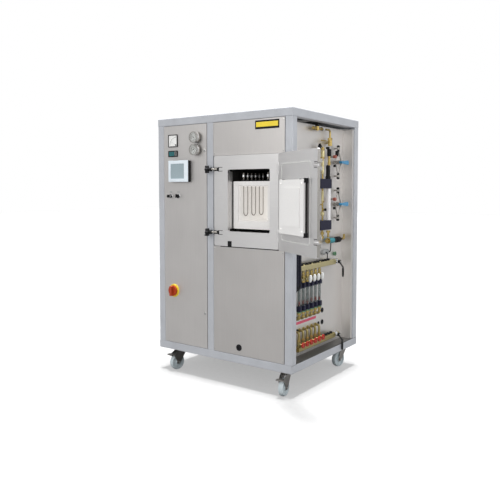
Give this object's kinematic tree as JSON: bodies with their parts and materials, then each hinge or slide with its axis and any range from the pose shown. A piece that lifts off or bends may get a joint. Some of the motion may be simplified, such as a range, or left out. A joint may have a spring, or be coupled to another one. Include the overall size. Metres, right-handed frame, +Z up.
{
  "type": "vacuum furnace",
  "caption": "Cold-wall vacuum furnace in a castored steel cabinet, with an open vessel door, a control cupboard and a side bay of water and gas fittings.",
  "frame": {"origin": "on the floor, in the middle of the whole footprint with the furnace door open", "axes": "+Z up, -Y to the front, +X to the service bay's side"},
  "size_m": [1.6389, 1.3749, 2],
  "materials": {
    "frame_paint": "satin",
    "panel_steel": "brushed",
    "bright_steel": "brushed",
    "fibre_board": "matte",
    "element_metal": "matte",
    "aluminium_bar": "satin",
    "plated_steel": "satin",
    "brass": "satin",
    "clear_plastic": "gloss",
    "navy_plastic": "gloss",
    "black_rubber": "matte",
    "machine_paint": "satin",
    "black_plastic": "matte",
    "black_steel": "satin",
    "white_plastic": "satin",
    "red_plastic": "gloss",
    "blue_plastic": "gloss",
    "wheel_rubber": "matte"
  },
  "bodies": {
    "cabinet": {"frame_base_ring": "frame_paint", "frame_top_ring": "frame_paint", "frame_posts": "frame_paint", "brackets_and_pins": "frame_paint", "top_panel": "panel_steel", "side_and_floor_panels": "panel_steel", "rear_panels": "panel_steel", "front_panels": "panel_steel", "furnace_vessel": "bright_steel", "vessel_front_plate": "bright_steel", "insulation_box": "fibre_board", "heating_elements": "element_metal", "element_terminals": "aluminium_bar", "thermocouple": "plated_steel", "vacuum_line": "bright_steel", "service_bay_panel": "panel_steel", "water_manifolds": "brass", "flow_meter_tubes": "clear_plastic", "flow_meter_blocks": "navy_plastic", "gas_pipework": "brass", "gas_flow_meter": "navy_plastic", "gas_valve_stations": "plated_steel", "cooling_hoses": "black_rubber", "rear_ports": "brass", "castor_plates": "plated_steel", "vacuum_pump": "machine_paint", "control_gear": "black_plastic"},
    "cupboard_door": {"control_door": "panel_steel", "door_instruments": "black_plastic", "touch_panel": "white_plastic"},
    "main_switch": {"main_switch_knob": "red_plastic"},
    "key_head": {"key_switch": "black_plastic"},
    "selector_head": {"selector_switch": "black_plastic"},
    "vessel_door": {"furnace_door": "bright_steel", "door_seal": "black_rubber", "door_plug": "fibre_board"},
    "bolt_lower": {"swing_bolt_lower": "black_steel"},
    "knob_lower": {"clamp_knob_lower": "black_plastic"},
    "bolt_upper": {"swing_bolt_upper": "black_steel"},
    "knob_upper": {"clamp_knob_upper": "black_plastic"},
    "handwheel_1": {"flow_handwheel_1": "red_plastic"},
    "handwheel_2": {"flow_handwheel_2": "red_plastic"},
    "handwheel_3": {"flow_handwheel_3": "red_plastic"},
    "handwheel_4": {"flow_handwheel_4": "red_plastic"},
    "handwheel_5": {"flow_handwheel_5": "red_plastic"},
    "handwheel_6": {"flow_handwheel_6": "red_plastic"},
    "shutoff_supply": {"shutoff_lever_supply": "black_plastic"},
    "shutoff_return": {"shutoff_lever_return": "black_plastic"},
    "gas_handle_1": {"gas_lever_1": "blue_plastic"},
    "gas_handle_2": {"gas_lever_2": "blue_plastic"},
    "fork_front_right": {"castor_fork_front_right": "plated_steel"},
    "wheel_front_right": {"castor_wheel_front_right": "wheel_rubber"},
    "brake_front_right": {"castor_brake_front_right": "plated_steel"},
    "fork_front_left": {"castor_fork_front_left": "plated_steel"},
    "wheel_front_left": {"castor_wheel_front_left": "wheel_rubber"},
    "brake_front_left": {"castor_brake_front_left": "plated_steel"},
    "fork_back_right": {"castor_fork_back_right": "plated_steel"},
    "wheel_back_right": {"castor_wheel_back_right": "wheel_rubber"},
    "fork_back_left": {"castor_fork_back_left": "plated_steel"},
    "wheel_back_left": {"castor_wheel_back_left": "wheel_rubber"}
  },
  "joints": [
    {"name": "furnace_door_hinge", "type": "hinge", "parent": "cabinet", "child": "vessel_door", "pos_m": [0.33716, -0.39069, 1.362], "axis": [0, 0, 1], "range_deg": [-148, 12]},
    {"name": "control_door_hinge", "type": "hinge", "parent": "cabinet", "child": "cupboard_door", "pos_m": [-0.74934, -0.36319, 1.0875], "axis": [0, 0, -1], "range_deg": [0, 110]},
    {"name": "main_switch_turn", "type": "hinge", "parent": "cupboard_door", "child": "main_switch", "pos_m": [-0.65634, -0.38619, 0.651], "axis": [0, 1, 0], "range_deg": [0, 90]},
    {"name": "key_turn", "type": "hinge", "parent": "cupboard_door", "child": "key_head", "pos_m": [-0.68434, -0.38819, 1.394], "axis": [0, 1, 0], "range_deg": [0, 60]},
    {"name": "selector_turn", "type": "hinge", "parent": "cupboard_door", "child": "selector_head", "pos_m": [-0.60434, -0.38819, 1.394], "axis": [0, 1, 0], "range_deg": [0, 60]},
    {"name": "clamp_swing_lower", "type": "hinge", "parent": "cabinet", "child": "bolt_lower", "pos_m": [-0.20484, -0.37019, 1.13], "axis": [0, 0, 1], "range_deg": [0, 65]},
    {"name": "clamp_knob_turn_lower", "type": "hinge", "parent": "bolt_lower", "child": "knob_lower", "pos_m": [-0.28187, -0.40611, 1.13], "axis": [-0.9063, -0.4226, 0], "continuous": true},
    {"name": "clamp_swing_upper", "type": "hinge", "parent": "cabinet", "child": "bolt_upper", "pos_m": [-0.20484, -0.37019, 1.594], "axis": [0, 0, 1], "range_deg": [0, 65]},
    {"name": "clamp_knob_turn_upper", "type": "hinge", "parent": "bolt_upper", "child": "knob_upper", "pos_m": [-0.28187, -0.40611, 1.594], "axis": [-0.9063, -0.4226, 0], "continuous": true},
    {"name": "handwheel_turn_1", "type": "hinge", "parent": "cabinet", "child": "handwheel_1", "pos_m": [0.41146, -0.17819, 0.335], "axis": [1, 0, 0], "continuous": true},
    {"name": "handwheel_turn_2", "type": "hinge", "parent": "cabinet", "child": "handwheel_2", "pos_m": [0.41146, -0.11919, 0.335], "axis": [1, 0, 0], "continuous": true},
    {"name": "handwheel_turn_3", "type": "hinge", "parent": "cabinet", "child": "handwheel_3", "pos_m": [0.41146, -0.06019, 0.335], "axis": [1, 0, 0], "continuous": true},
    {"name": "handwheel_turn_4", "type": "hinge", "parent": "cabinet", "child": "handwheel_4", "pos_m": [0.41146, -0.00119, 0.335], "axis": [1, 0, 0], "continuous": true},
    {"name": "handwheel_turn_5", "type": "hinge", "parent": "cabinet", "child": "handwheel_5", "pos_m": [0.41146, 0.05781, 0.335], "axis": [1, 0, 0], "continuous": true},
    {"name": "handwheel_turn_6", "type": "hinge", "parent": "cabinet", "child": "handwheel_6", "pos_m": [0.41146, 0.11681, 0.335], "axis": [1, 0, 0], "continuous": true},
    {"name": "shutoff_turn_supply", "type": "hinge", "parent": "cabinet", "child": "shutoff_supply", "pos_m": [0.41316, 0.37181, 0.883], "axis": [1, 0, 0], "range_deg": [0, 90]},
    {"name": "shutoff_turn_return", "type": "hinge", "parent": "cabinet", "child": "shutoff_return", "pos_m": [0.41316, 0.37181, 0.304], "axis": [1, 0, 0], "range_deg": [0, 90]},
    {"name": "gas_turn_1", "type": "hinge", "parent": "cabinet", "child": "gas_handle_1", "pos_m": [0.39316, 0.40981, 1.659], "axis": [1, 0, 0], "range_deg": [0, 90]},
    {"name": "gas_turn_2", "type": "hinge", "parent": "cabinet", "child": "gas_handle_2", "pos_m": [0.39316, 0.40981, 1.331], "axis": [1, 0, 0], "range_deg": [0, 90]},
    {"name": "swivel_front_right", "type": "hinge", "parent": "cabinet", "child": "fork_front_right", "pos_m": [0.33816, -0.28819, 0.159], "axis": [0, 0, 1], "continuous": true},
    {"name": "roll_front_right", "type": "hinge", "parent": "fork_front_right", "child": "wheel_front_right", "pos_m": [0.34473, -0.32967, 0.0625], "axis": [0.9877, 0.1564, 0], "continuous": true},
    {"name": "brake_tilt_front_right", "type": "hinge", "parent": "fork_front_right", "child": "brake_front_right", "pos_m": [0.35036, -0.36523, 0.124], "axis": [0.9877, 0.1564, 0], "range_deg": [0, 10]},
    {"name": "swivel_front_left", "type": "hinge", "parent": "cabinet", "child": "fork_front_left", "pos_m": [-0.68284, -0.26419, 0.159], "axis": [0, 0, 1], "continuous": true},
    {"name": "roll_front_left", "type": "hinge", "parent": "fork_front_left", "child": "wheel_front_left", "pos_m": [-0.68868, -0.30578, 0.0625], "axis": [0.9903, -0.1392, 0], "continuous": true},
    {"name": "brake_tilt_front_left", "type": "hinge", "parent": "fork_front_left", "child": "brake_front_left", "pos_m": [-0.69369, -0.34143, 0.124], "axis": [0.9903, -0.1392, 0], "range_deg": [0, 10]},
    {"name": "swivel_back_right", "type": "hinge", "parent": "cabinet", "child": "fork_back_right", "pos_m": [0.33816, 0.56181, 0.159], "axis": [0, 0, 1], "continuous": true},
    {"name": "roll_back_right", "type": "hinge", "parent": "fork_back_right", "child": "wheel_back_right", "pos_m": [0.32943, 0.52073, 0.0625], "axis": [0.9781, -0.2079, 0], "continuous": true},
    {"name": "swivel_back_left", "type": "hinge", "parent": "cabinet", "child": "fork_back_left", "pos_m": [-0.68284, 0.53781, 0.159], "axis": [0, 0, 1], "continuous": true},
    {"name": "roll_back_left", "type": "hinge", "parent": "fork_back_left", "child": "wheel_back_left", "pos_m": [-0.67197, 0.49724, 0.0625], "axis": [0.9659, 0.2588, 0], "continuous": true}
  ]
}
